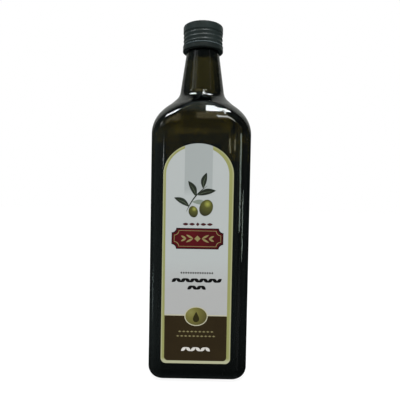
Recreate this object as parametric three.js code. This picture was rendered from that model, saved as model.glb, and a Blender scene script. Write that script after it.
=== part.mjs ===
// Square olive oil bottle: dark glass, the oil in it, a rolled screw cap and a front label.
// Millimetres, +Z up. The origin is the centre of the base, and the label faces -Y.
import * as THREE from 'three';

// Outside of the glass
const BODY_WIDTH = 75.8;
const CORNER_RADIUS = 12;
const HEEL_RADIUS = 9;
const BEARING_WIDTH = 4;
const PUSH_UP = 2.5;
const SHOULDER_START = 187.1;
const SHOULDER_RADIUS = 36.3;
const SHOULDER_SWEEP = THREE.MathUtils.degToRad(47.7);
const NECK_FILLET_RADIUS = 11.5;
const NECK_TAPER = THREE.MathUtils.degToRad(8.05);
const NECK_TOP_RADIUS = 13.15;
const FLATS_END = 214;

// Inside of the glass and the oil
const WALL = 2.5;
const BASE_THICKNESS = 5;
const INNER_HEEL_RADIUS = 7;
const OIL_LEVEL = 251.8;
const OIL_GAP = 0.3;

// Screw cap, and the glass mouth that it covers
const TOTAL_HEIGHT = 278;
const CAP_HEIGHT = 20.4;
const CAP_WAIST_RADIUS = 15.85;
const CAP_BAND_RADIUS = 16.15;
const CAP_LIP_RADIUS = 16.4;
const CAP_BORE_RADIUS = 14.75;
const CAP_TOP_THICKNESS = 1;
const CAP_EDGE_RADIUS = 1.8;
const CAP_RING_HEIGHT = 4.1;
const CAP_RING_DEPTH = 0.4;
const THREAD_START = 5;
const THREAD_END = 14.2;
const THREAD_PITCH = 3.2;
const THREAD_DEPTH = 0.45;
const MOUTH_GAP = 0.3;
const MOUTH_STEP = 1.2;
const MOUTH_RADIUS = 14.2;
const MOUTH_EDGE = 0.8;

// Label: a plate with an arched top on the front flat
const LABEL_WIDTH = 52.1;
const LABEL_OFFSET = -1.5;
const LABEL_BOTTOM = 14.8;
const LABEL_TOP = 179.2;
const LABEL_ARCH_HEIGHT = 23;
const LABEL_CORNER_RADIUS = 4;
const LABEL_THICKNESS = 0.25;
const LABEL_GAP = 0.05;

// Fineness of the facets
const CORNER_STEPS = 8;
const CAP_SIDES = 48;
const SHOULDER_STEPS = 8;
const FILLET_STEPS = 6;
const HEEL_STEPS = 4;
const EDGE_STEPS = 3;
const THREAD_STEPS = 15;
const LABEL_ARCH_STEPS = 20;

// Worked out from the above
const HALF = BODY_WIDTH / 2;
const BODY_FLAT = HALF - CORNER_RADIUS;
const CAP_RIM = TOTAL_HEIGHT - CAP_HEIGHT;
const MOUTH_TOP = TOTAL_HEIGHT - CAP_TOP_THICKNESS - MOUTH_GAP;

// Half the width of the flat sides at a height: full on the body, narrowing to none up the shoulder.
function flatAt(z) {
  const t = THREE.MathUtils.clamp((z - SHOULDER_START) / (FLATS_END - SHOULDER_START), 0, 1);
  return BODY_FLAT * Math.cos(t * Math.PI / 2);
}

// A station is one level of a square-sided shape: half its width, and half of that side's flat.
function station(half, z, flat = flatAt(z)) {
  return { half, z, flat };
}

function arcStations(centre, radius, from, to, steps) {
  return Array.from({ length: steps + 1 }, (_, i) => {
    const angle = from + (to - from) * i / steps;
    return station(centre.x + radius * Math.cos(angle), centre.y + radius * Math.sin(angle));
  });
}

// Straight stretch of the shoulder between its round edge and the fillet of the neck.
function shoulderSlope() {
  const width = HALF - SHOULDER_RADIUS * (1 - Math.cos(SHOULDER_SWEEP))
    + NECK_FILLET_RADIUS * (Math.cos(SHOULDER_SWEEP) - Math.cos(NECK_TAPER));
  const height = SHOULDER_START + SHOULDER_RADIUS * Math.sin(SHOULDER_SWEEP)
    + NECK_FILLET_RADIUS * (Math.sin(SHOULDER_SWEEP) - Math.sin(NECK_TAPER));
  const taper = Math.tan(NECK_TAPER);
  return (width - NECK_TOP_RADIUS - (CAP_RIM - height) * taper)
    / (Math.sin(SHOULDER_SWEEP) - Math.cos(SHOULDER_SWEEP) * taper);
}

function neckRadius(z, inset) {
  return NECK_TOP_RADIUS + (CAP_RIM - z) * Math.tan(NECK_TAPER) - inset / Math.cos(NECK_TAPER);
}

// The bottle's side from the floor up to a height on the neck, set in from the outside by inset.
function sideStations(inset, floor, heel, top) {
  const heelCentre = new THREE.Vector2(HALF - inset - heel, floor + heel);
  const shoulderCentre = new THREE.Vector2(HALF - SHOULDER_RADIUS, SHOULDER_START);
  const normal = new THREE.Vector2(Math.cos(SHOULDER_SWEEP), Math.sin(SHOULDER_SWEEP));
  const along = new THREE.Vector2(-normal.y, normal.x);
  const filletCentre = shoulderCentre.clone()
    .addScaledVector(normal, SHOULDER_RADIUS + NECK_FILLET_RADIUS)
    .addScaledVector(along, shoulderSlope());
  return [
    ...arcStations(heelCentre, heel, -Math.PI / 2, 0, HEEL_STEPS),
    ...arcStations(shoulderCentre, SHOULDER_RADIUS - inset, 0, SHOULDER_SWEEP, SHOULDER_STEPS),
    ...arcStations(filletCentre, NECK_FILLET_RADIUS + inset, Math.PI + SHOULDER_SWEEP,
      Math.PI + NECK_TAPER, FILLET_STEPS),
    station(neckRadius(top, inset), top),
  ];
}

// Turns the corner radii into a lathe, then moves its four quarters apart by the flats.
// The lathe is drawn outside its circles, so that the flats keep the stated width.
function squareLathe(stations) {
  const step = Math.PI / 2 / CORNER_STEPS;
  const outside = 1 / Math.cos(step / 2);
  const profile = stations.map(({ half, z, flat }) => new THREE.Vector2((half - flat) * outside, z));
  const geometry = new THREE.LatheGeometry(profile, 4 * CORNER_STEPS, step / 2);
  geometry.rotateX(Math.PI / 2);
  const position = geometry.attributes.position;
  for (let i = 0; i < position.count; i++) {
    const { flat } = stations[i % stations.length];
    position.setX(i, position.getX(i) + flat * Math.sign(position.getX(i)));
    position.setY(i, position.getY(i) + flat * Math.sign(position.getY(i)));
  }
  return geometry;
}

// The glass: its base is pushed up in the middle, and its mouth is open under the cap.
function bottleGeometry() {
  const bearing = HALF - HEEL_RADIUS - BEARING_WIDTH;
  const bore = neckRadius(CAP_RIM, WALL);
  return squareLathe([
    station(0, PUSH_UP, 0),
    station(bearing, 0, bearing - BEARING_WIDTH),
    ...sideStations(0, 0, HEEL_RADIUS, CAP_RIM),
    station(MOUTH_RADIUS, CAP_RIM + MOUTH_STEP),
    station(MOUTH_RADIUS, MOUTH_TOP - MOUTH_EDGE),
    station(MOUTH_RADIUS - MOUTH_EDGE, MOUTH_TOP),
    station(bore, MOUTH_TOP),
    ...sideStations(WALL, BASE_THICKNESS, INNER_HEEL_RADIUS, CAP_RIM).reverse(),
    station(0, BASE_THICKNESS, 0),
  ]);
}

function oilGeometry() {
  const floor = BASE_THICKNESS + OIL_GAP;
  return squareLathe([
    station(0, floor, 0),
    ...sideStations(WALL + OIL_GAP, floor, INNER_HEEL_RADIUS - OIL_GAP, OIL_LEVEL),
    station(0, OIL_LEVEL, 0),
  ]);
}

// How far the rolled thread sinks the cap's wall, as a share of its full depth.
function threadGroove(height, angle) {
  const rise = (height - THREAD_START) / (THREAD_END - THREAD_START);
  const fade = Math.sin(Math.PI * THREE.MathUtils.clamp(rise, 0, 1)) ** 0.5;
  return fade * (0.5 + 0.5 * Math.cos(2 * Math.PI * height / THREAD_PITCH - angle));
}

// The cap is a thin cup: a loose ring with a lip below, the thread's grooves, and a plain band above.
function capGeometry() {
  const top = TOTAL_HEIGHT;
  const point = (radius, height) => new THREE.Vector2(radius, CAP_RIM + height);
  const thread = Array.from({ length: THREAD_STEPS + 1 }, (_, i) =>
    point(CAP_WAIST_RADIUS, THREAD_START + (THREAD_END - THREAD_START) * i / THREAD_STEPS));
  const edge = Array.from({ length: EDGE_STEPS + 1 }, (_, i) => {
    const angle = Math.PI / 2 * i / EDGE_STEPS;
    return new THREE.Vector2(CAP_BAND_RADIUS - CAP_EDGE_RADIUS * (1 - Math.cos(angle)),
      top - CAP_EDGE_RADIUS * (1 - Math.sin(angle)));
  });
  const profile = [
    new THREE.Vector2(0, top - CAP_TOP_THICKNESS),
    new THREE.Vector2(CAP_BORE_RADIUS, top - CAP_TOP_THICKNESS),
    point(CAP_BORE_RADIUS, 0),
    point(CAP_LIP_RADIUS, 0),
    point(CAP_LIP_RADIUS, CAP_RING_HEIGHT - CAP_RING_DEPTH),
    point(CAP_LIP_RADIUS - CAP_RING_DEPTH, CAP_RING_HEIGHT),
    ...thread,
    point(CAP_BAND_RADIUS, THREAD_END + CAP_RING_DEPTH),
    ...edge,
    new THREE.Vector2(0, top),
  ];
  const geometry = new THREE.LatheGeometry(profile, CAP_SIDES);
  geometry.rotateX(Math.PI / 2);
  const position = geometry.attributes.position;
  for (let i = 0; i < position.count; i++) {
    if (!thread.includes(profile[i % profile.length])) continue;
    const angle = Math.atan2(position.getY(i), position.getX(i));
    const sunk = THREAD_DEPTH * threadGroove(position.getZ(i) - CAP_RIM, angle);
    position.setX(i, position.getX(i) - sunk * Math.cos(angle));
    position.setY(i, position.getY(i) - sunk * Math.sin(angle));
  }
  return geometry;
}

function labelGeometry() {
  const half = LABEL_WIDTH / 2;
  const inner = half - LABEL_CORNER_RADIUS;
  const low = LABEL_BOTTOM + LABEL_CORNER_RADIUS;
  const spring = LABEL_TOP - LABEL_ARCH_HEIGHT;
  const outline = new THREE.Shape();
  outline.absarc(-inner, low, LABEL_CORNER_RADIUS, Math.PI, 1.5 * Math.PI);
  outline.absarc(inner, low, LABEL_CORNER_RADIUS, 1.5 * Math.PI, 2 * Math.PI);
  outline.absellipse(0, spring, half, LABEL_ARCH_HEIGHT, 0, Math.PI);
  outline.closePath();
  return new THREE.ExtrudeGeometry(outline, {
    depth: LABEL_THICKNESS,
    bevelEnabled: false,
    curveSegments: LABEL_ARCH_STEPS,
  });
}

function subPart(name, geometry, color, roughness, metalness) {
  const mesh = new THREE.Mesh(geometry, new THREE.MeshStandardMaterial({ color, roughness, metalness }));
  mesh.name = name;
  return mesh;
}

const bottle = subPart('bottle', bottleGeometry(), '#1b1d12', 0.06, 0);
const oil = subPart('oil', oilGeometry(), '#6b6614', 0.1, 0);
const cap = subPart('cap', capGeometry(), '#2c3735', 0.4, 0.6);
const label = subPart('label', labelGeometry(), '#b6babc', 0.55, 0);
label.rotation.x = Math.PI / 2;
label.position.set(LABEL_OFFSET, -(HALF + LABEL_GAP), 0);

const group = new THREE.Group();
group.add(bottle, oil, cap, label);

export default group;
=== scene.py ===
"""Looks of a square olive oil bottle: dark glass, the oil, a rolled screw cap and a printed front label."""

import math

import bmesh
import bpy
import numpy as np
from mathutils import Matrix, Vector


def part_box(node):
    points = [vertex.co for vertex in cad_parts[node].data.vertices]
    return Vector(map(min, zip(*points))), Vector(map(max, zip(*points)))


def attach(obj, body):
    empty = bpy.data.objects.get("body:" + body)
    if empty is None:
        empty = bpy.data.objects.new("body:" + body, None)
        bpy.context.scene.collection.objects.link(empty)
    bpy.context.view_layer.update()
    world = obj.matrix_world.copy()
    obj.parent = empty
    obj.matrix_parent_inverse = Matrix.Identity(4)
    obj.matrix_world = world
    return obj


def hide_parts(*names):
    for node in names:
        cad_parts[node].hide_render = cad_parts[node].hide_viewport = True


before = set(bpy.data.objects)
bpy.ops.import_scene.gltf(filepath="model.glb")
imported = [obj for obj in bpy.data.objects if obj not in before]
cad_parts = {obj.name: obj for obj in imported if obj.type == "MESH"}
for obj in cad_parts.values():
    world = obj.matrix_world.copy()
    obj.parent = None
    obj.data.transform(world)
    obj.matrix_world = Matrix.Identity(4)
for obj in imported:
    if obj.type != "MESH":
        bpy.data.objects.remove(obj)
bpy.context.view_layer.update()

MM = 0.001
WHITE = (1, 1, 1, 1)

# Sizes read from the frame
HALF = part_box("bottle")[1].x
CAP_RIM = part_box("cap")[0].z
CAP_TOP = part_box("cap")[1].z
MOUTH_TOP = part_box("bottle")[1].z
OIL_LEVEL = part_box("oil")[1].z
LABEL_LOW, LABEL_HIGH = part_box("label")
LABEL_X = (LABEL_LOW.x + LABEL_HIGH.x) / 2
LABEL_HALF = (LABEL_HIGH.x - LABEL_LOW.x) / 2
LABEL_BOTTOM = LABEL_LOW.z
LABEL_TOP = LABEL_HIGH.z

# Outline of the glass and of the oil in it
CORNER_RADIUS = 12 * MM
HEEL_RADIUS = 9 * MM
BEARING_WIDTH = 4 * MM
PUSH_UP = 2.5 * MM
SHOULDER_START = 187.1 * MM
SHOULDER_RADIUS = 36.3 * MM
SHOULDER_SWEEP = math.radians(47.7)
NECK_FILLET = 11.5 * MM
NECK_TAPER = math.radians(8.05)
NECK_TOP_RADIUS = 13.15 * MM
FLATS_END = 214 * MM
MOUTH_RADIUS = 14.2 * MM
MOUTH_STEP = 1.2 * MM
MOUTH_EDGE = 0.8 * MM
WALL = 2.5 * MM
BASE_THICKNESS = 5 * MM
INNER_HEEL = 7 * MM
STRAIGHT_END = 0.8 * MM
OIL_REACH = 0.15 * MM
MENISCUS = 0.6 * MM
MENISCUS_POWER = 8

# Screw cap, with heights above its rim
CAP_BORE = 14.75 * MM
CAP_PLATE = 1 * MM
CAP_TUCK_RADIUS = 13.5 * MM
CAP_TUCK_WIDTH = 0.4 * MM
CAP_TUCK_HEIGHTS = (1.4 * MM, 0.7 * MM, 0.15 * MM)
CAP_LIP_RADIUS = 16.4 * MM
CAP_LIP_EDGE = 0.5 * MM
CAP_RING_TOP_RADIUS = 16.2 * MM
CAP_WAIST_RADIUS = 16 * MM
CAP_BEAD_RADIUS = 16.4 * MM
CAP_BAND_RADIUS = 16.15 * MM
CAP_BAND_STEP = 0.5 * MM
CAP_EDGE = 1.3 * MM
SCORE_HEIGHT = 3.35 * MM
SCORE_WIDTH = 0.25 * MM
SCORE_DEPTH = 0.3 * MM
BEAD_HEIGHT = 3.95 * MM
BEAD_RADIUS = 0.55 * MM
THREAD_START = 4.6 * MM
THREAD_END = 14.4 * MM
THREAD_PITCH = 3.2 * MM
THREAD_RUN = 0.25 * THREAD_PITCH
THREAD_DEPTH = 0.42 * MM
THREAD_VALLEY = 7.7 * MM
CREST_POWER = 1.4
WAIST_TOLERANCE = 0.01 * MM

# Label paper and its border, with heights above the base
LABEL_ARCH = 23 * MM
LABEL_CORNER = 4 * MM
PAPER_GAP = 0.05 * MM
PAPER_THICKNESS = 0.12 * MM
PAPER_BACK = -(HALF + PAPER_GAP)
INK_BACK = PAPER_BACK - PAPER_THICKNESS / 2
INK_STEP = 0.012 * MM
INK_DRIFT = 0.9
BORDER_SIDE = 2.7 * MM
BORDER_FOOT = 2.1 * MM
BORDER_CROWN = 2.1 * MM
BORDER_EDGE = 0.9 * MM
BORDER_FADE = 6 * MM
FIELD_CORNER = 2.8 * MM
FIELD_SHIFT = -0.15 * MM
FIELD_LEAN = -0.004
FOOT_FIELD_TOP = 50.9 * MM
FOOT_LINE = 0.8 * MM
PAPER_FADE_TOP = 2.2 * FOOT_FIELD_TOP
COLUMN_HALF = 10.3 * MM
COLUMN_LOW = 136 * MM
COLUMN_FADE = 14 * MM

# Pictures and rows printed on the label, with heights above the base
SPRIG_FOOT = 128 * MM
VEIN_SHARE = 0.8
LEAF_POWER = 0.85
RULE_HEIGHT = 119.5 * MM
RULE_LEAF = 4.4 * MM
PLAQUE_HEIGHT = 108.8 * MM
PLAQUE_WIDE = 38.5 * MM
PLAQUE_TALL = 15.6 * MM
PLAQUE_NOTCH = 3.4 * MM
PLAQUE_MARGIN = 0.7 * MM
PLAQUE_LINE_OUTER = 1.8 * MM
PLAQUE_LINE_INNER = 2.15 * MM
ORNAMENT_LOZENGE = 4.6 * MM
ORNAMENT_LEAF_WIDTH = 1.5 * MM
ORNAMENT_LEAN = math.radians(28)
DOTS_HEIGHT = 83.2 * MM
DOTS_HALF = 11.5 * MM
DOT_COUNT = 14
LONG_ROW_HEIGHT = 77.6 * MM
SHORT_ROW_HEIGHT = 72.2 * MM
WHITE_ROW_HEIGHT = 25.7 * MM
ROW_LEAF = 4.6 * MM
ROW_LEAN = math.radians(38)
GOLD_ROWS = ((9, 39 * MM), (10, 35.6 * MM))
GOLD_PITCH = 3 * MM
SEAL_HEIGHT = 50.6 * MM
SEAL_HALF_WIDE = 8 * MM
SEAL_HALF_TALL = 6.6 * MM
SEAL_RING = 0.7 * MM
SEAL_SHADE = 13 * MM
DROP_MIDDLE = SEAL_HEIGHT - 0.4 * MM
DROP_BULGE = 3.3 * MM
DROP_HALF = 4 * MM
DROP_POWER = 1.5

# Camera, as the photograph was taken
EYE = Vector((0, -350, 140.4)) * MM
TILT = math.radians(2.13)
ROLL = math.radians(1.06)
FOCAL_PX = 421.5
PICTURE_PX = 400
CENTRE_Y_PX = 211.8
SENSOR_MM = 36
CLIP_START = 0.01

# Light: white surroundings, the dim room that the gloss and the glass show, the lamps and the cards
WORLD_LOW = 0.5
WORLD_HIGH = 0.98
FLOOR_RADIUS = 4
FLOOR_GLOW = 0.9
ROOM_DIM = 0.23
ROOM_REAR = 0.4
ROOM_CEILING = 0.28
ROOM_BRIGHT_CEILING = 0.5
ROOM_FRONT = 0.9
ROOM_WINDOW = 1
BEHIND_SIDES = 0.4
COOL_LIGHT = (0.8, 1, 0.98, 1)
REAR_LIGHT = (0.98, 1, 0.94, 1)
WARM_LIGHT = (1, 0.87, 0.5, 1)
LAMP_LIGHT = (0.92, 0.97, 1)
SIDE_LIGHT = (0.82, 1, 0.9)
MARK_LIGHT = (1, 0.98, 0.72)
CARD_LIGHT = (1, 0.94, 0.85)
LAMP_CENTRE = Vector((0, -0.85 * HALF, SHOULDER_START + 0.5 * SHOULDER_RADIUS))
LAMP_DISTANCE = 0.9
MARK_WIDTH = 0.0045
CARD_NEAR = 48 * MM
CARD_MIDDLE = 80 * MM
CARD_FAR = 150 * MM

# Fineness of the meshes
SMOOTH_ANGLE = math.radians(30)
CORNER_STEPS = 16
FLAT_STOPS = (-0.98, -0.6, 0, 0.6, 0.98)
BASE_STOPS = np.linspace(0.1, 1, 8)
SURFACE_STOPS = (0.97, 0.93, 0.88, 0.8, 0.6, 0.3)
NECK_LEVELS = 6
THREAD_LEVELS = 72
CAP_SIDES = 240
ARC_STEPS = 20
CURVE_STEPS = 48
LEAF_STEPS = 20


def srgb(red, green, blue):
    """A colour given in screen values from 0 to 255, as linear light."""
    def linear(value):
        value /= 255
        return value / 12.92 if value <= 0.04045 else ((value + 0.055) / 1.055) ** 2.4
    return (linear(red), linear(green), linear(blue), 1)


def grey(value):
    return (value, value, value, 1)


# Materials

def new_material(name):
    material = bpy.data.materials.new(name)
    material.use_nodes = True
    tree = material.node_tree
    return material, tree, tree.nodes["Principled BSDF"]


def noise(tree, scale, detail):
    """A noise texture fixed to the object, in the frame's own metres."""
    place = tree.nodes.new("ShaderNodeTexCoord")
    texture = tree.nodes.new("ShaderNodeTexNoise")
    texture.inputs["Scale"].default_value = scale
    texture.inputs["Detail"].default_value = detail
    tree.links.new(place.outputs["Object"], texture.inputs["Vector"])
    return texture.outputs["Fac"]


def height_share(tree, low, high):
    """How far up the surface a point is, from 0 at a low height to 1 at a high one."""
    place = tree.nodes.new("ShaderNodeTexCoord")
    split = tree.nodes.new("ShaderNodeSeparateXYZ")
    share = tree.nodes.new("ShaderNodeMapRange")
    share.inputs["From Min"].default_value = low
    share.inputs["From Max"].default_value = high
    tree.links.new(place.outputs["Object"], split.inputs["Vector"])
    tree.links.new(split.outputs["Z"], share.inputs["Value"])
    return share.outputs["Result"]


def colour_stops(tree, share, first, last, *stops):
    """A colour that goes from the first to the last with a share, through stops of a place and a colour."""
    node = tree.nodes.new("ShaderNodeValToRGB")
    node.color_ramp.elements[0].color = first
    node.color_ramp.elements[1].color = last
    for place, colour in stops:
        node.color_ramp.elements.new(place).color = colour
    tree.links.new(share, node.inputs["Fac"])
    return node.outputs["Color"]


def mix_colours(tree, share, first, second):
    """Two colours mixed by a share, each of them pure near its own end."""
    node = tree.nodes.new("ShaderNodeValToRGB")
    for element, place, colour in zip(node.color_ramp.elements, (0.3, 0.7), (first, second)):
        element.position = place
        element.color = colour
    tree.links.new(share, node.inputs["Fac"])
    return node.outputs["Color"]


def add_bump(tree, shader, height, strength, distance):
    node = tree.nodes.new("ShaderNodeBump")
    node.inputs["Strength"].default_value = strength
    node.inputs["Distance"].default_value = distance
    tree.links.new(height, node.inputs["Height"])
    tree.links.new(node.outputs["Normal"], shader.inputs["Normal"])


def clear_material(name, index, colour, density):
    """Glass or oil. Light that passes through is coloured by how far it goes."""
    material, tree, shader = new_material(name)
    shader.inputs["Base Color"].default_value = WHITE
    shader.inputs["Transmission Weight"].default_value = 1
    shader.inputs["Roughness"].default_value = 0.01
    shader.inputs["IOR"].default_value = index
    volume = tree.nodes.new("ShaderNodeVolumeAbsorption")
    volume.inputs["Color"].default_value = colour
    volume.inputs["Density"].default_value = density
    tree.links.new(volume.outputs["Volume"], tree.nodes["Material Output"].inputs["Volume"])
    return material, tree, shader


def glass_material():
    """Dark green glass with a slightly wavy surface."""
    green = (0.16, 0.15, 0.01, 1)
    material, tree, shader = clear_material("dark_glass", index=1.5, colour=green, density=720)
    add_bump(tree, shader, noise(tree, scale=35, detail=1), strength=0.02, distance=0.6 * MM)
    return material


def oil_material():
    material, _, _ = clear_material("olive_oil", index=1.47, colour=(0.6, 0.56, 0, 1), density=75)
    return material


def cap_material():
    """Satin lacquer, darker on the loose ring, with a painted highlight of lighter colour along the rolled
    bead.
    """
    material, tree, shader = new_material("cap_lacquer")
    tall = CAP_TOP - CAP_RIM
    # The bead's lighter colour is a painted highlight, standing in for the overhead light that its upper
    # side catches.
    ring, painted_bead_highlight, band = srgb(21, 29, 28), srgb(66, 77, 79), srgb(30, 40, 39)
    zones = colour_stops(tree, height_share(tree, CAP_RIM, CAP_TOP), ring, band,
                         (SCORE_HEIGHT / tall, ring),
                         ((BEAD_HEIGHT - 0.4 * BEAD_RADIUS) / tall, painted_bead_highlight),
                         ((BEAD_HEIGHT + 0.8 * BEAD_RADIUS) / tall, painted_bead_highlight),
                         (THREAD_START / tall, band))
    drift = mix_colours(tree, noise(tree, scale=90, detail=3), grey(0.85), grey(1.1))
    tint = tree.nodes.new("ShaderNodeVectorMath")
    tint.operation = "MULTIPLY"
    tree.links.new(zones, tint.inputs[0])
    tree.links.new(drift, tint.inputs[1])
    tree.links.new(tint.outputs["Vector"], shader.inputs["Base Color"])
    fine = noise(tree, scale=900, detail=2)
    rough = tree.nodes.new("ShaderNodeMapRange")
    rough.inputs["To Min"].default_value = 0.34
    rough.inputs["To Max"].default_value = 0.46
    tree.links.new(fine, rough.inputs["Value"])
    tree.links.new(rough.outputs["Result"], shader.inputs["Roughness"])
    add_bump(tree, shader, fine, strength=0.08, distance=0.1 * MM)
    shader.inputs["Specular IOR Level"].default_value = 0.45
    return material


def add_fibre(tree, shader):
    """The fine fibre grain and the dull gloss of coated paper."""
    add_bump(tree, shader, noise(tree, scale=2500, detail=3), strength=0.15, distance=0.05 * MM)
    shader.inputs["Roughness"].default_value = 0.55
    shader.inputs["Specular IOR Level"].default_value = 0.15


def print_material(name, colour, other=None):
    """An ink with a slight drift of colour across the sheet."""
    material, tree, shader = new_material(name)
    second = other or tuple(value * INK_DRIFT for value in colour[:3]) + (1,)
    drift = mix_colours(tree, noise(tree, scale=60, detail=4), colour, second)
    tree.links.new(drift, shader.inputs["Base Color"])
    add_fibre(tree, shader)
    return material


def fading_material(name, upper, lower, fade_low, fade_high):
    """Paper or an ink that has one colour above a height and fades to another below it."""
    material, tree, shader = new_material(name)
    fade = mix_colours(tree, height_share(tree, fade_low, fade_high), lower, upper)
    tree.links.new(fade, shader.inputs["Base Color"])
    add_fibre(tree, shader)
    return material


def shaded_material(name, light, middle, dark, centre, radius):
    """A print shaded to look round: light at a spot and darker away from it."""
    material, tree, shader = new_material(name)
    place = tree.nodes.new("ShaderNodeTexCoord")
    away = tree.nodes.new("ShaderNodeVectorMath")
    away.operation = "DISTANCE"
    away.inputs[1].default_value = centre
    share = tree.nodes.new("ShaderNodeMapRange")
    share.inputs["From Max"].default_value = radius
    tree.links.new(place.outputs["Object"], away.inputs[0])
    tree.links.new(away.outputs["Value"], share.inputs["Value"])
    shade = colour_stops(tree, share.outputs["Result"], light, dark, (0.3, middle))
    tree.links.new(shade, shader.inputs["Base Color"])
    shader.inputs["Roughness"].default_value = 0.45
    return material


def floor_material():
    material, tree, shader = new_material("pale_floor")
    colour = mix_colours(tree, noise(tree, scale=8, detail=3), grey(0.17), grey(0.19))
    tree.links.new(colour, shader.inputs["Base Color"])
    shader.inputs["Roughness"].default_value = 0.9
    shader.inputs["Specular IOR Level"].default_value = 0
    shader.inputs["Emission Color"].default_value = WHITE
    shader.inputs["Emission Strength"].default_value = FLOOR_GLOW
    return material


# Meshes

def mesh_object(name, vertices, faces, material):
    mesh = bpy.data.meshes.new(name)
    mesh.from_pydata([tuple(v) for v in vertices], [], [tuple(f) for f in faces])
    shape = bmesh.new()
    shape.from_mesh(mesh)
    bmesh.ops.recalc_face_normals(shape, faces=shape.faces)
    shape.to_mesh(mesh)
    shape.free()
    mesh.shade_smooth()
    mesh.set_sharp_from_angle(angle=SMOOTH_ANGLE)
    mesh.materials.append(material)
    piece = bpy.data.objects.new(name, mesh)
    bpy.context.scene.collection.objects.link(piece)
    return piece


def dress(piece, node):
    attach(piece, "root")
    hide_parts(node)


def grid_faces(rows, columns):
    """Quads between neighbouring closed loops of vertices, loop after loop."""
    faces = []
    for row in range(rows - 1):
        for column in range(columns):
            following = (column + 1) % columns
            low, high = row * columns, (row + 1) * columns
            faces.append((low + column, low + following, high + following, high + column))
    return faces


def capped_loops(name, loops, first_pole, last_pole, material):
    """A closed mesh from loops of vertices, with a point closing each end."""
    columns = len(loops[0])
    vertices = [vertex for loop in loops for vertex in loop]
    faces = grid_faces(len(loops), columns)
    last = (len(loops) - 1) * columns
    for column in range(columns):
        following = (column + 1) % columns
        faces.append((following, column, len(vertices)))
        faces.append((last + column, last + following, len(vertices) + 1))
    return mesh_object(name, vertices + [first_pole, last_pole], faces, material)


def full_turn(steps):
    return np.linspace(0, 2 * math.pi, steps, endpoint=False)


def arc(centre, radius, start, end, steps=ARC_STEPS):
    return [(centre[0] + radius * math.cos(angle), centre[1] + radius * math.sin(angle))
            for angle in np.linspace(start, end, steps + 1)]


# Glass and oil

def flat_at(z):
    """Half the width of the flat sides: full on the body, narrowing to none up the shoulder."""
    share = min(max((z - SHOULDER_START) / (FLATS_END - SHOULDER_START), 0), 1)
    return (HALF - CORNER_RADIUS) * math.cos(share * math.pi / 2)


def square_loop(half, z, flat):
    """One level of a square with round corners, which is a circle where the flats have no width."""
    radius = half - flat
    edge = math.pi / 4 / CORNER_STEPS
    loop = []
    for quarter in range(4):
        turn = quarter * math.pi / 2
        side = [(stop * edge, stop * flat, flat) for stop in FLAT_STOPS]
        corner = [(angle, flat, flat) for angle in np.linspace(edge, math.pi / 2 - edge, CORNER_STEPS)]
        for angle, across, out in side + corner:
            along = out + radius * math.cos(angle)
            sideways = across + radius * math.sin(angle)
            loop.append((along * math.cos(turn) - sideways * math.sin(turn),
                         along * math.sin(turn) + sideways * math.cos(turn), z))
    return loop


def shoulder_slope():
    """Length of the straight stretch between the shoulder's round edge and the fillet of the neck."""
    width = HALF - SHOULDER_RADIUS * (1 - math.cos(SHOULDER_SWEEP))
    width += NECK_FILLET * (math.cos(SHOULDER_SWEEP) - math.cos(NECK_TAPER))
    height = SHOULDER_START + SHOULDER_RADIUS * math.sin(SHOULDER_SWEEP)
    height += NECK_FILLET * (math.sin(SHOULDER_SWEEP) - math.sin(NECK_TAPER))
    taper = math.tan(NECK_TAPER)
    spare = width - NECK_TOP_RADIUS - (CAP_RIM - height) * taper
    return spare / (math.sin(SHOULDER_SWEEP) - math.cos(SHOULDER_SWEEP) * taper)


def neck_radius(z, inset):
    return NECK_TOP_RADIUS + (CAP_RIM - z) * math.tan(NECK_TAPER) - inset / math.cos(NECK_TAPER)


def side_line(inset, floor, heel, top):
    """The bottle's side from a floor up to a height on the neck, set in from the outside.

    The straight body has a level of points near each end, which keeps its shading level up to there.
    """
    heel_centre = (HALF - inset - heel, floor + heel)
    shoulder_centre = (HALF - SHOULDER_RADIUS, SHOULDER_START)
    reach = SHOULDER_RADIUS + NECK_FILLET
    slope = shoulder_slope()
    fillet_centre = (
        shoulder_centre[0] + reach * math.cos(SHOULDER_SWEEP) - slope * math.sin(SHOULDER_SWEEP),
        shoulder_centre[1] + reach * math.sin(SHOULDER_SWEEP) + slope * math.cos(SHOULDER_SWEEP),
    )
    line = arc(heel_centre, heel, -math.pi / 2, 0)
    line += [(HALF - inset, z) for z in (floor + heel + STRAIGHT_END, SHOULDER_START - STRAIGHT_END)]
    line += arc(shoulder_centre, SHOULDER_RADIUS - inset, 0, SHOULDER_SWEEP)
    line += arc(fillet_centre, NECK_FILLET + inset, math.pi + SHOULDER_SWEEP, math.pi + NECK_TAPER)
    neck_start = line[-1][1]
    line += [(neck_radius(z, inset), z) for z in np.linspace(neck_start, top, NECK_LEVELS)[1:]]
    return line


def make_bottle():
    bearing = HALF - HEEL_RADIUS - BEARING_WIDTH
    bore = neck_radius(CAP_RIM, WALL)
    base = []
    for share in BASE_STOPS:
        rise = PUSH_UP * math.cos(share * math.pi / 2)
        base.append(square_loop(share * bearing, rise, share * (bearing - BEARING_WIDTH)))
    outside = [square_loop(half, z, flat_at(z)) for half, z in side_line(0, 0, HEEL_RADIUS, CAP_RIM)]
    mouth_line = [
        (MOUTH_RADIUS, CAP_RIM + MOUTH_STEP),
        (MOUTH_RADIUS, MOUTH_TOP - MOUTH_EDGE),
        (MOUTH_RADIUS - MOUTH_EDGE, MOUTH_TOP),
        (bore + MOUTH_EDGE, MOUTH_TOP),
        (bore, MOUTH_TOP - MOUTH_EDGE),
    ]
    mouth = [square_loop(half, z, 0) for half, z in mouth_line]
    inner_line = side_line(WALL, BASE_THICKNESS, INNER_HEEL, CAP_RIM)
    inside = [square_loop(half, z, flat_at(z)) for half, z in reversed(inner_line)]
    glass = capped_loops("bottle_glass", base + outside + mouth + inside, (0, 0, PUSH_UP),
                         (0, 0, BASE_THICKNESS), glass_material())
    dress(glass, "bottle")


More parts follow.
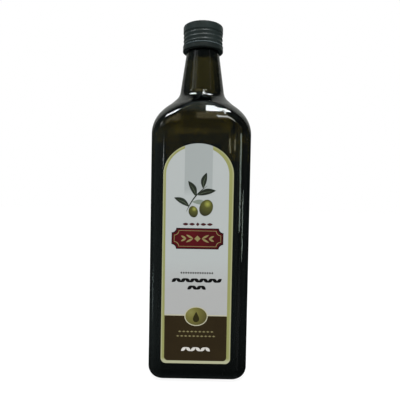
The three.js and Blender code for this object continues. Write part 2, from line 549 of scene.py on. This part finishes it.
def make_oil():
    floor = BASE_THICKNESS - OIL_REACH
    line = side_line(WALL - OIL_REACH, floor, INNER_HEEL + OIL_REACH, OIL_LEVEL)
    top_radius = line[-1][0]
    surface = [(top_radius * share, OIL_LEVEL - MENISCUS * (1 - share ** MENISCUS_POWER))
               for share in SURFACE_STOPS]
    loops = [square_loop(half, z, flat_at(z)) for half, z in line]
    loops += [square_loop(half, z, 0) for half, z in surface]
    oil = capped_loops("oil_fill", loops, (0, 0, floor), (0, 0, OIL_LEVEL - MENISCUS), oil_material())
    dress(oil, "oil")


# Screw cap

def smooth_step(value):
    value = min(max(value, 0), 1)
    return value * value * (3 - 2 * value)


def thread_groove(height, angle):
    """How far the waist is sunk beside the rolled thread's narrow crests, as a share of its full depth."""
    front = -math.pi / 2
    turns = (height - THREAD_VALLEY) / THREAD_PITCH - (angle - front) / (2 * math.pi)
    crest = (0.5 - 0.5 * math.cos(2 * math.pi * turns)) ** CREST_POWER
    run_in = smooth_step((height - THREAD_START) / THREAD_RUN)
    run_out = smooth_step((THREAD_END - height) / THREAD_RUN)
    return 1 - crest * run_in * run_out


def cap_line():
    """The cap's wall from inside its rim, round the tucked lip, up to the middle of its top."""
    tall = CAP_TOP - CAP_RIM
    score_radius = CAP_RING_TOP_RADIUS - SCORE_DEPTH
    bead_centre = (CAP_BEAD_RADIUS - BEAD_RADIUS, BEAD_HEIGHT)
    tuck = (CAP_BORE, CAP_TUCK_RADIUS + CAP_TUCK_WIDTH, CAP_TUCK_RADIUS)
    line = list(zip(tuck, CAP_TUCK_HEIGHTS))
    line += arc((CAP_LIP_RADIUS - CAP_LIP_EDGE, CAP_LIP_EDGE), CAP_LIP_EDGE, -math.pi / 2, 0, steps=8)
    line += [(CAP_LIP_RADIUS, 0.5 * SCORE_HEIGHT), (CAP_RING_TOP_RADIUS, SCORE_HEIGHT - SCORE_WIDTH)]
    line += [(score_radius, SCORE_HEIGHT - 0.6 * SCORE_WIDTH), (score_radius, SCORE_HEIGHT)]
    line += arc(bead_centre, BEAD_RADIUS, -0.4 * math.pi, 0.45 * math.pi, steps=10)
    line += [(CAP_WAIST_RADIUS, height) for height in np.linspace(THREAD_START, THREAD_END, THREAD_LEVELS)]
    line += [(CAP_BAND_RADIUS, THREAD_END + CAP_BAND_STEP)]
    line += arc((CAP_BAND_RADIUS - CAP_EDGE, tall - CAP_EDGE), CAP_EDGE, 0, math.pi / 2, steps=10)
    line += [(CAP_BAND_RADIUS * share, tall) for share in (0.8, 0.5, 0.2)]
    return line


def make_cap():
    """The cap from loops of points. Those at the waist's radius are sunk between the thread's crests.

    One loop of the round top edge is about as wide as the waist, so the edge gets a fine groove.
    """
    inside = [(CAP_BORE * share, CAP_TOP - CAP_PLATE - CAP_RIM) for share in (0.3, 0.7, 1)]
    loops = []
    for radius, height in inside + cap_line():
        threaded = abs(radius - CAP_WAIST_RADIUS) < WAIST_TOLERANCE
        loop = []
        for angle in full_turn(CAP_SIDES):
            sunk = THREAD_DEPTH * thread_groove(height, angle) if threaded else 0
            out = radius - sunk
            loop.append((out * math.cos(angle), out * math.sin(angle), CAP_RIM + height))
        loops.append(loop)
    cap = capped_loops("cap_shell", loops, (0, 0, CAP_TOP - CAP_PLATE), (0, 0, CAP_TOP), cap_material())
    dress(cap, "cap")


# Label: a sheet of paper, with each printed field a thin layer of ink on it

def ink_front(layer):
    """Front of a layer of ink. Layer 0 is the paper's own front."""
    return PAPER_BACK - PAPER_THICKNESS - layer * INK_STEP


def prism(outlines, back, front):
    """Vertices and faces of upright plates, one for each outline of x and z about the label's middle."""
    vertices = []
    faces = []
    for outline in outlines:
        start = len(vertices)
        count = len(outline)
        vertices += [(LABEL_X + x, back, z) for x, z in outline]
        vertices += [(LABEL_X + x, front, z) for x, z in outline]
        faces.append(range(start, start + count))
        faces.append(range(start + 2 * count - 1, start + count - 1, -1))
        for i in range(count):
            j = (i + 1) % count
            faces.append((start + i, start + j, start + count + j, start + count + i))
    return vertices, faces


def ring_prism(outer, inner, back, front):
    """Vertices and faces of an upright plate between two outlines of as many points."""
    count = len(outer)
    loops = [(outer, back), (outer, front), (inner, front), (inner, back)]
    vertices = [(LABEL_X + x, y, z) for outline, y in loops for x, z in outline]
    faces = []
    for loop in range(4):
        following = (loop + 1) % 4
        for i in range(count):
            j = (i + 1) % count
            faces.append((loop * count + i, loop * count + j, following * count + j, following * count + i))
    return vertices, faces


def ink(name, outlines, material, layer):
    vertices, faces = prism(outlines, INK_BACK, ink_front(layer))
    dress(mesh_object(name, vertices, faces, material), "label")


def ink_ring(name, outer, inner, material, layer):
    vertices, faces = ring_prism(outer, inner, INK_BACK, ink_front(layer))
    dress(mesh_object(name, vertices, faces, material), "label")


def rounded_foot(half, low, corner):
    """The round lower corners of an upright field, from its left side to its right."""
    outline = arc((corner - half, low + corner), corner, math.pi, 1.5 * math.pi)
    return outline + arc((half - corner, low + corner), corner, 1.5 * math.pi, 2 * math.pi)


def label_outline(corner, side=0, foot=0, crown=0):
    """The label's outline, set in by three margins: at its sides, its foot and its arch."""
    half = LABEL_HALF - side
    outline = rounded_foot(half, LABEL_BOTTOM + foot, corner)
    spring = LABEL_TOP - LABEL_ARCH
    rise = LABEL_ARCH - crown
    outline += [(half * math.cos(angle), spring + rise * math.sin(angle))
                for angle in np.linspace(0, math.pi, CURVE_STEPS + 1)]
    return outline


def printed(outline):
    """An outline as it is printed: a little to the left of the paper's middle, and leaning."""
    return [(x + FIELD_SHIFT + FIELD_LEAN * (z - LABEL_BOTTOM), z) for x, z in outline]


def foot_outline(top):
    """The lower part of the label inside its border, up to a height."""
    half = LABEL_HALF - BORDER_SIDE
    outline = rounded_foot(half, LABEL_BOTTOM + BORDER_FOOT, FIELD_CORNER)
    return printed(outline + [(half, top), (-half, top)])


def column_outline():
    """An upright band from the edge of the arch's crown down to where its colour has faded out."""
    spring = LABEL_TOP - LABEL_ARCH
    top = [(x, spring + LABEL_ARCH * math.sqrt(1 - (x / LABEL_HALF) ** 2))
           for x in np.linspace(COLUMN_HALF, -COLUMN_HALF, CURVE_STEPS)]
    return [(-COLUMN_HALF, COLUMN_LOW), (COLUMN_HALF, COLUMN_LOW)] + top


def ellipse(x, z, half_wide, half_tall, tilt=0):
    points = []
    for angle in full_turn(CURVE_STEPS):
        across, up = half_wide * math.cos(angle), half_tall * math.sin(angle)
        points.append((x + across * math.cos(tilt) - up * math.sin(tilt),
                       z + across * math.sin(tilt) + up * math.cos(tilt)))
    return points


def box_outline(x, z, wide, tall):
    return [(x - wide / 2, z - tall / 2), (x + wide / 2, z - tall / 2),
            (x + wide / 2, z + tall / 2), (x - wide / 2, z + tall / 2)]


def lozenge(x, z, wide, tall):
    return [(x - wide / 2, z), (x, z - tall / 2), (x + wide / 2, z), (x, z + tall / 2)]


def leaf(x, z, length, width, lean, bend=0):
    """A pointed leaf that starts at a point and leans by an angle, its middle line bent sideways."""
    upper, lower = [], []
    for step in range(LEAF_STEPS + 1):
        share = step / LEAF_STEPS
        middle = bend * math.sin(math.pi * share)
        half = width / 2 * math.sin(math.pi * share) ** LEAF_POWER
        upper.append((share * length, middle + half))
        lower.append((share * length, middle - half))
    points = lower + upper[-2:0:-1]
    return [(x + u * math.cos(lean) - v * math.sin(lean), z + u * math.sin(lean) + v * math.cos(lean))
            for u, v in points]


def plaque_outline(margin):
    """The plaque, whose four corners are cut out round, set in by a margin."""
    half_wide = PLAQUE_WIDE / 2 - margin
    half_tall = PLAQUE_TALL / 2 - margin
    outline = []
    for across, up, start in ((-1, -1, 0.5), (1, -1, 1), (1, 1, 1.5), (-1, 1, 2)):
        centre = (across * half_wide, PLAQUE_HEIGHT + up * half_tall)
        outline += arc(centre, PLAQUE_NOTCH, start * math.pi, (start - 0.5) * math.pi, steps=12)
    return outline


def make_label():
    paper = srgb(176, 180, 179)
    foot_paper = srgb(171, 171, 170)
    pale_foot = srgb(173, 173, 142)
    fade_end = LABEL_BOTTOM + BORDER_FADE
    edge = fading_material("ink_border_edge", srgb(162, 163, 122), pale_foot, LABEL_BOTTOM, fade_end)
    gold = fading_material("ink_border", srgb(144, 145, 90), pale_foot, LABEL_BOTTOM, fade_end)
    cream = print_material("ink_cream", srgb(186, 182, 158))
    brown = print_material("ink_brown", srgb(49, 37, 13), srgb(45, 33, 11))
    sheet = fading_material("label_paper", paper, foot_paper, FOOT_FIELD_TOP, PAPER_FADE_TOP)
    column = fading_material("ink_column", srgb(159, 164, 163), paper, COLUMN_LOW, COLUMN_LOW + COLUMN_FADE)
    vertices, faces = prism([label_outline(LABEL_CORNER)], PAPER_BACK, ink_front(0))
    dress(mesh_object("label_sheet", vertices, faces, sheet), "label")
    middle = label_outline(LABEL_CORNER - BORDER_EDGE, BORDER_EDGE, BORDER_EDGE, 0.5 * BORDER_EDGE)
    field = printed(label_outline(FIELD_CORNER, BORDER_SIDE, BORDER_FOOT, BORDER_CROWN))
    ink_ring("label_border_edge", label_outline(LABEL_CORNER), middle, edge, layer=1)
    ink_ring("label_border", middle, field, gold, layer=1)
    ink("label_column", [column_outline()], column, layer=2)
    ink("label_foot", [foot_outline(FOOT_FIELD_TOP)], brown, layer=1)
    foot_line = box_outline(0, FOOT_FIELD_TOP + FOOT_LINE / 2, 2 * (LABEL_HALF - BORDER_SIDE), FOOT_LINE)
    ink("label_foot_line", [printed(foot_line)], cream, layer=1)
    make_sprig()
    make_plaque()
    make_rows()
    make_seal(cream)


def twig_leaf(across, above, length, width, lean, bend):
    """A leaf of the twig, in millimetres from the twig's foot, with its lean in degrees."""
    return leaf(across * MM, SPRIG_FOOT + above * MM, length * MM, width * MM,
                math.radians(lean), bend * MM)


def make_sprig():
    """An olive twig: a bent stem with leaves and two olives hanging from it."""
    dark = print_material("ink_leaf", srgb(42, 49, 38), srgb(34, 38, 30))
    pale = print_material("ink_pale_leaf", srgb(134, 143, 133), srgb(115, 125, 112))
    vein = print_material("ink_vein", srgb(88, 98, 80))
    stem = twig_leaf(-9, 0, length=26, width=0.9, lean=52, bend=2)
    pale_leaf = twig_leaf(-4.5, 8, length=12, width=3.6, lean=-8, bend=0.8)
    # Place across and above the twig's foot, length, width, lean and bend of each dark leaf
    leaves = [
        (3.5, 18, 12, 4.2, 78, 0.8),
        (-1.5, 12, 13, 4.4, 118, -0.9),
        (-0.5, 13, 14, 4.4, 15, 0.9),
        (-6.5, 4.5, 13, 4.2, 150, -0.9),
    ]
    vein_width = 0.35
    veins = [twig_leaf(across, above, VEIN_SHARE * length, vein_width, lean, VEIN_SHARE * bend)
             for across, above, length, _, lean, bend in leaves]
    ink("label_pale_leaf", [pale_leaf], pale, layer=3)
    ink("label_leaves", [twig_leaf(*sizes) for sizes in leaves] + [stem], dark, layer=4)
    ink("label_veins", veins, vein, layer=5)
    make_olive("label_olive", 6, 3.8, half_wide=4.9, half_tall=6.2, tilt=-20)
    make_olive("label_small_olive", -3.5, 0.8, half_wide=3.4, half_tall=4.3, tilt=15)


def make_olive(name, across, above, half_wide, half_tall, tilt):
    """An olive of the twig, in millimetres from the twig's foot, with its tilt in degrees."""
    x, z = across * MM, SPRIG_FOOT + above * MM
    wide, tall = half_wide * MM, half_tall * MM
    spot = (LABEL_X + x + 0.2 * wide, ink_front(6), z + 0.45 * tall)
    green = shaded_material("ink_" + name, srgb(158, 160, 66), srgb(84, 84, 18), srgb(40, 38, 6),
                            spot, 1.5 * tall)
    ink(name, [ellipse(x, z, wide, tall, math.radians(tilt))], green, layer=6)


def make_plaque():
    """A wine-red plaque with a thin line round it, and leaves on both sides of a lozenge."""
    edge = print_material("ink_dark_wine", srgb(36, 8, 12))
    wine = print_material("ink_wine", srgb(90, 4, 14), srgb(66, 2, 9))
    line = print_material("ink_old_gold", srgb(140, 128, 84))
    ink("label_plaque_edge", [plaque_outline(0)], edge, layer=3)
    ink("label_plaque", [plaque_outline(PLAQUE_MARGIN)], wine, layer=4)
    ink_ring("label_plaque_line", plaque_outline(PLAQUE_LINE_OUTER),
             plaque_outline(PLAQUE_LINE_INNER), line, layer=5)
    ornament = [lozenge(0, PLAQUE_HEIGHT, ORNAMENT_LOZENGE, ORNAMENT_LOZENGE)]
    for side in (-1, 1):
        for start, length in ((3.2 * MM, 6 * MM), (8.4 * MM, 4.4 * MM)):
            for lean in (ORNAMENT_LEAN, -ORNAMENT_LEAN):
                angle = lean if side > 0 else math.pi - lean
                ornament.append(leaf(side * start, PLAQUE_HEIGHT, length, ORNAMENT_LEAF_WIDTH, angle))
    ink("label_plaque_ornament", ornament, line, layer=5)


def leaf_row(z, count, wide, leaf_width):
    """A row of short leaves that lean up and down by turns."""
    outlines = []
    pitch = wide / count
    for i in range(count):
        lean = ROW_LEAN if i % 2 == 0 else -ROW_LEAN
        middle = (i + 0.5) * pitch - wide / 2
        root_x = middle - ROW_LEAF / 2 * math.cos(lean)
        root_z = z - ROW_LEAF / 2 * math.sin(lean)
        outlines.append(leaf(root_x, root_z, ROW_LEAF, leaf_width, lean))
    return outlines


def make_rows():
    """Rows of plain ornament: a garland above the plaque, the rest below it and on the brown foot."""
    wine = print_material("ink_row_wine", srgb(70, 30, 34))
    dark_grey = print_material("ink_row_grey", srgb(76, 76, 74))
    black = print_material("ink_row_black", srgb(12, 10, 10))
    gold = print_material("ink_row_gold", srgb(130, 122, 84))
    white = print_material("ink_row_white", srgb(214, 210, 204))
    garland = [leaf(side * start, RULE_HEIGHT, side * RULE_LEAF, width=2 * MM, lean=0)
               for side in (-1, 1) for start in (2 * MM, 6.8 * MM)]
    garland.append(lozenge(0, RULE_HEIGHT, wide=2.8 * MM, tall=2.8 * MM))
    dots = [ellipse(x, DOTS_HEIGHT, half_wide=0.65 * MM, half_tall=0.75 * MM)
            for x in np.linspace(-DOTS_HALF, DOTS_HALF, DOT_COUNT)]
    lozenges = [lozenge((i - (count - 1) / 2) * GOLD_PITCH, z, wide=2.5 * MM, tall=1.3 * MM)
                for count, z in GOLD_ROWS for i in range(count)]
    long_row = leaf_row(LONG_ROW_HEIGHT, count=11, wide=37 * MM, leaf_width=2.6 * MM)
    short_row = leaf_row(SHORT_ROW_HEIGHT, count=4, wide=13.4 * MM, leaf_width=2.6 * MM)
    white_row = leaf_row(WHITE_ROW_HEIGHT, count=6, wide=21.6 * MM, leaf_width=2.3 * MM)
    ink("label_rule", garland, wine, layer=3)
    ink("label_dots", dots, dark_grey, layer=3)
    ink("label_leaf_row", long_row, black, layer=3)
    ink("label_short_row", short_row, black, layer=3)
    ink("label_gold_rows", lozenges, gold, layer=3)
    ink("label_white_row", white_row, white, layer=3)


def make_seal(cream):
    """A round seal across the edge of the dark field, with a drop on it."""
    spot = (LABEL_X - 4 * MM, ink_front(4), SEAL_HEIGHT + 3 * MM)
    green = shaded_material("ink_seal", srgb(134, 130, 66), srgb(116, 110, 42), srgb(80, 72, 14),
                            spot, SEAL_SHADE)
    dark = print_material("ink_drop", srgb(42, 36, 8), srgb(52, 46, 10))
    ring = ellipse(0, SEAL_HEIGHT, SEAL_HALF_WIDE + SEAL_RING, SEAL_HALF_TALL + SEAL_RING)
    drop = [(DROP_BULGE * math.sin(angle) * math.sin(angle / 2) ** DROP_POWER,
             DROP_MIDDLE + DROP_HALF * math.cos(angle)) for angle in full_turn(CURVE_STEPS)]
    ink("label_seal_ring", [ring], cream, layer=3)
    ink("label_seal", [ellipse(0, SEAL_HEIGHT, SEAL_HALF_WIDE, SEAL_HALF_TALL)], green, layer=4)
    ink("label_drop", [drop], dark, layer=5)


# Floor, light and camera

def make_floor():
    loop = [(FLOOR_RADIUS * math.cos(angle), FLOOR_RADIUS * math.sin(angle), 0)
            for angle in full_turn(CURVE_STEPS)]
    floor = mesh_object("floor", loop, [range(CURVE_STEPS)], floor_material())
    floor.visible_glossy = False
    floor.visible_transmission = False


def ramp(tree, value, low, high, start, end):
    """A smooth change from one number to another while a value goes from low to high."""
    node = tree.nodes.new("ShaderNodeMapRange")
    node.interpolation_type = "SMOOTHSTEP"
    for name, number in (("From Min", low), ("From Max", high), ("To Min", start), ("To Max", end)):
        node.inputs[name].default_value = number
    tree.links.new(value, node.inputs["Value"])
    return node.outputs["Result"]


def rising(tree, value, low, high, full=1):
    """Nothing below a low value, and full above a high one."""
    return ramp(tree, value, low, high, 0, full)


def falling(tree, value, low, high, full=1):
    """Full below a low value, and nothing above a high one."""
    return ramp(tree, value, low, high, full, 0)


def maths(tree, operation, first, second=None):
    """A calculation with one or two outputs. A difference is kept between 0 and 1."""
    node = tree.nodes.new("ShaderNodeMath")
    node.operation = operation
    node.use_clamp = operation == "SUBTRACT"
    tree.links.new(first, node.inputs[0])
    if second is not None:
        tree.links.new(second, node.inputs[1])
    return node.outputs["Value"]


def chain(tree, operation, values):
    result = values[0]
    for value in values[1:]:
        result = maths(tree, operation, result, value)
    return result


def product(tree, *values):
    return chain(tree, "MULTIPLY", values)


def total(tree, *values):
    return chain(tree, "ADD", values)


def background(tree, colour, strength):
    node = tree.nodes.new("ShaderNodeBackground")
    node.inputs["Color"].default_value = colour
    tree.links.new(strength, node.inputs["Strength"])
    return node.outputs["Background"]


def mix_shaders(tree, share, first, second):
    node = tree.nodes.new("ShaderNodeMixShader")
    tree.links.new(share, node.inputs["Fac"])
    tree.links.new(first, node.inputs[1])
    tree.links.new(second, node.inputs[2])
    return node.outputs["Shader"]


def add_shaders(tree, first, second):
    node = tree.nodes.new("ShaderNodeAddShader")
    tree.links.new(first, node.inputs[0])
    tree.links.new(second, node.inputs[1])
    return node.outputs["Shader"]


def reflected_room(tree, right, rear, up, across):
    """The room that the gloss shows: mostly dim, with brighter fields by direction."""
    dim = product(tree, ramp(tree, right, 0.3, 0.6, ROOM_DIM, 0.5 * ROOM_DIM),
                  ramp(tree, up, -0.42, -0.3, 0.5, 1), ramp(tree, up, 0.2, 0.5, 1, 0.6),
                  ramp(tree, across, 0.2, 0.4, 0.75, 1), ramp(tree, rear, 0, 0.5, 1, 0.3))
    ceiling = product(tree, ramp(tree, right, -0.01, 0.005, ROOM_CEILING, ROOM_BRIGHT_CEILING),
                      rising(tree, up, 0.88, 0.98), falling(tree, across, 0.1, 0.3))
    window = product(tree, falling(tree, right, -0.5, -0.4, ROOM_WINDOW),
                     rising(tree, rear, 0.04, 0.12), falling(tree, rear, 0.16, 0.26),
                     rising(tree, up, -0.32, -0.22), falling(tree, up, -0.2, -0.15))
    rear_wall = product(tree, rising(tree, rear, 0.35, 0.6, ROOM_REAR), rising(tree, up, 0.1, 0.4))
    facing = falling(tree, rear, -0.3, 0, ROOM_FRONT)
    front_right = product(tree, facing, rising(tree, up, 0.68, 0.74), falling(tree, up, 0.88, 0.91),
                          rising(tree, right, -0.018, -0.008), falling(tree, right, 0.2, 0.4))
    front_left = product(tree, facing, rising(tree, up, 0.58, 0.66), falling(tree, up, 0.82, 0.87),
                         rising(tree, right, -0.45, -0.38), falling(tree, right, -0.06, -0.045))
    cool = background(tree, COOL_LIGHT, total(tree, dim, ceiling, window))
    pale = background(tree, REAR_LIGHT, rear_wall)
    warm = background(tree, WARM_LIGHT, total(tree, front_right, front_left))
    return add_shaders(tree, add_shaders(tree, cool, pale), warm)


def make_world():
    """White surroundings. The gloss and the glass show a dim room instead, as in the photograph."""
    world = bpy.data.worlds.new("studio")
    bpy.context.scene.world = world
    world.use_nodes = True
    tree = world.node_tree
    white = tree.nodes["Background"]
    white.inputs["Color"].default_value = WHITE
    place = tree.nodes.new("ShaderNodeTexCoord")
    split = tree.nodes.new("ShaderNodeSeparateXYZ")
    tree.links.new(place.outputs["Generated"], split.inputs["Vector"])
    right, rear, up = split.outputs["X"], split.outputs["Y"], split.outputs["Z"]
    across = maths(tree, "ABSOLUTE", right)
    room = reflected_room(tree, right, rear, up, across)
    sides = product(tree, rising(tree, across, 0.36, 0.44, BEHIND_SIDES), rising(tree, up, 0.03, 0.12))
    behind = background(tree, WHITE, sides)
    path = tree.nodes.new("ShaderNodeLightPath")
    lit = ramp(tree, up, 0, 1, WORLD_LOW, WORLD_HIGH)
    tree.links.new(maths(tree, "MAXIMUM", path.outputs["Is Camera Ray"], lit), white.inputs["Strength"])
    through = path.outputs["Is Transmission Ray"]
    mirrored = maths(tree, "SUBTRACT", path.outputs["Is Glossy Ray"], through)
    seen = mix_shaders(tree, mirrored, white.outputs["Background"], room)
    seen = mix_shaders(tree, through, seen, behind)
    tree.links.new(seen, tree.nodes["World Output"].inputs["Surface"])


def area_light(name, wide, tall, radiance, place, turn, colour):
    """A rectangle of light that the camera itself doesn't see."""
    lamp = bpy.data.lights.new(name, "AREA")
    lamp.shape = "RECTANGLE"
    lamp.size = wide
    lamp.size_y = tall
    lamp.energy = radiance * math.pi * wide * tall
    lamp.color = colour
    light = bpy.data.objects.new(name, lamp)
    light.visible_camera = False
    light.matrix_world = Matrix.Translation(place) @ Matrix(turn).transposed().to_4x4()
    bpy.context.scene.collection.objects.link(light)
    return light


def strip_light(name, start, end, width, radiance, colour=LAMP_LIGHT):
    """A lit strip between two directions seen from the shoulder, at the lamps' distance."""
    start, end = Vector(start).normalized(), Vector(end).normalized()
    facing = (start + end).normalized()
    along = (end - start).normalized()
    area_light(name, (end - start).length * LAMP_DISTANCE, width * LAMP_DISTANCE, radiance,
               LAMP_CENTRE + facing * LAMP_DISTANCE, (along, facing.cross(along), facing), colour)


def card_light(name, sides, heights, distance, radiance):
    """A lit card behind the bottle, which only shows through the glass. Its edges are in millimetres."""
    left, right = (side * MM for side in sides)
    low, high = (height * MM for height in heights)
    place = Vector(((left + right) / 2, distance, (low + high) / 2))
    turn = ((1, 0, 0), (0, 0, -1), (0, 1, 0))
    card = area_light(name, right - left, high - low, radiance, place, turn, CARD_LIGHT)
    card.visible_diffuse = False
    card.visible_glossy = False


def make_lamps():
    """Lamps for the highlights: on the shoulder, down the sides, on the neck and above the label."""
    strip_light("lamp_right", (0.09, -0.41, 0.91), (0.09, -0.08, 0.99), width=0.155, radiance=20)
    strip_light("lamp_far_right", (0.2, -0.1, 0.97), (0.345, 0.25, 0.9), width=0.12, radiance=18)
    strip_light("lamp_left", (-0.27, -0.06, 0.96), (-0.52, 0.13, 0.85), width=0.16, radiance=17)
    strip_light("lamp_front", (0.05, -0.62, 0.78), (0.34, -0.57, 0.75), width=0.08, radiance=10)
    strip_light("lamp_side", (0.63, -0.76, 0.16), (0.66, -0.73, -0.18),
                width=0.17, radiance=3.5, colour=SIDE_LIGHT)
    strip_light("lamp_far_side", (0.893, -0.445, -0.066), (0.9, -0.38, -0.25),
                width=0.14, radiance=2.9, colour=SIDE_LIGHT)
    strip_light("lamp_low_right", (0.778, -0.552, -0.3), (0.538, -0.656, -0.53), width=0.3, radiance=0.12)
    strip_light("lamp_left_side", (-0.415, -0.906, 0.085), (-0.38, -0.924, 0.02), width=0.13, radiance=2.8)
    strip_light("lamp_neck", (-0.711, -0.35, 0.61), (-0.708, -0.54, 0.455), width=0.14, radiance=0.75)
    strip_light("lamp_glint", (-0.69, -0.13, 0.7), (-0.711, -0.33, 0.62), width=0.14, radiance=2)
    strip_light("lamp_neck_beside", (-0.56, -0.54, 0.63), (-0.56, -0.67, 0.48), width=0.18, radiance=0.4)
    strip_light("lamp_neck_right", (0.65, -0.47, 0.6), (0.63, -0.6, 0.49), width=0.06, radiance=0.5)
    strip_light("lamp_mark_left", (0.0915, -0.9898, 0.1091), (0.0926, -0.9935, 0.0667),
                width=MARK_WIDTH, radiance=2.4, colour=MARK_LIGHT)
    strip_light("lamp_mark_right", (0.1076, -0.9883, 0.1076), (0.1086, -0.9913, 0.0743),
                width=MARK_WIDTH, radiance=2, colour=MARK_LIGHT)


def make_cards():
    """Cards for the fields of light that show through the shoulder and the neck."""
    card_light("card_near", (-20, 30), (195, 208), CARD_NEAR, radiance=2.1)
    card_light("card_near_right", (24, 34), (172, 194), CARD_NEAR, radiance=1.8)
    card_light("card_near_left", (-34, -20), (193.5, 208), CARD_NEAR, radiance=2)
    card_light("card_below_left", (-34, -20), (188, 193.5), CARD_NEAR, radiance=0.9)
    card_light("card_corner_left", (-45, -20.5), (180, 199.3), CARD_FAR, radiance=1.5)
    card_light("card_corner_right", (22.5, 45), (180, 199.3), CARD_FAR, radiance=1.1)
    card_light("card_band", (-40, 7.2), (196, 199), CARD_MIDDLE, radiance=2.1)
    card_light("card_high", (-55, 55), (199.3, 330), CARD_FAR, radiance=1.08)


def make_camera():
    forward = Vector((0, math.cos(TILT), -math.sin(TILT)))
    level_up = Vector((0, math.sin(TILT), math.cos(TILT)))
    level_right = Vector((1, 0, 0))
    right = level_right * math.cos(ROLL) + level_up * math.sin(ROLL)
    up = level_up * math.cos(ROLL) - level_right * math.sin(ROLL)
    data = bpy.data.cameras.new("camera")
    data.sensor_width = SENSOR_MM
    data.lens = SENSOR_MM * FOCAL_PX / PICTURE_PX
    data.shift_y = (CENTRE_Y_PX - PICTURE_PX / 2) / PICTURE_PX
    data.clip_start = CLIP_START
    camera = bpy.data.objects.new("camera", data)
    turn = Matrix((right, up, -forward)).transposed().to_4x4()
    camera.matrix_world = Matrix.Translation(EYE) @ turn
    bpy.context.scene.collection.objects.link(camera)
    bpy.context.scene.camera = camera


make_bottle()
make_oil()
make_cap()
make_label()
make_floor()
make_world()
make_lamps()
make_cards()
make_camera()
bpy.context.scene.view_settings.view_transform = "Standard"

bpy.context.view_layer.update()
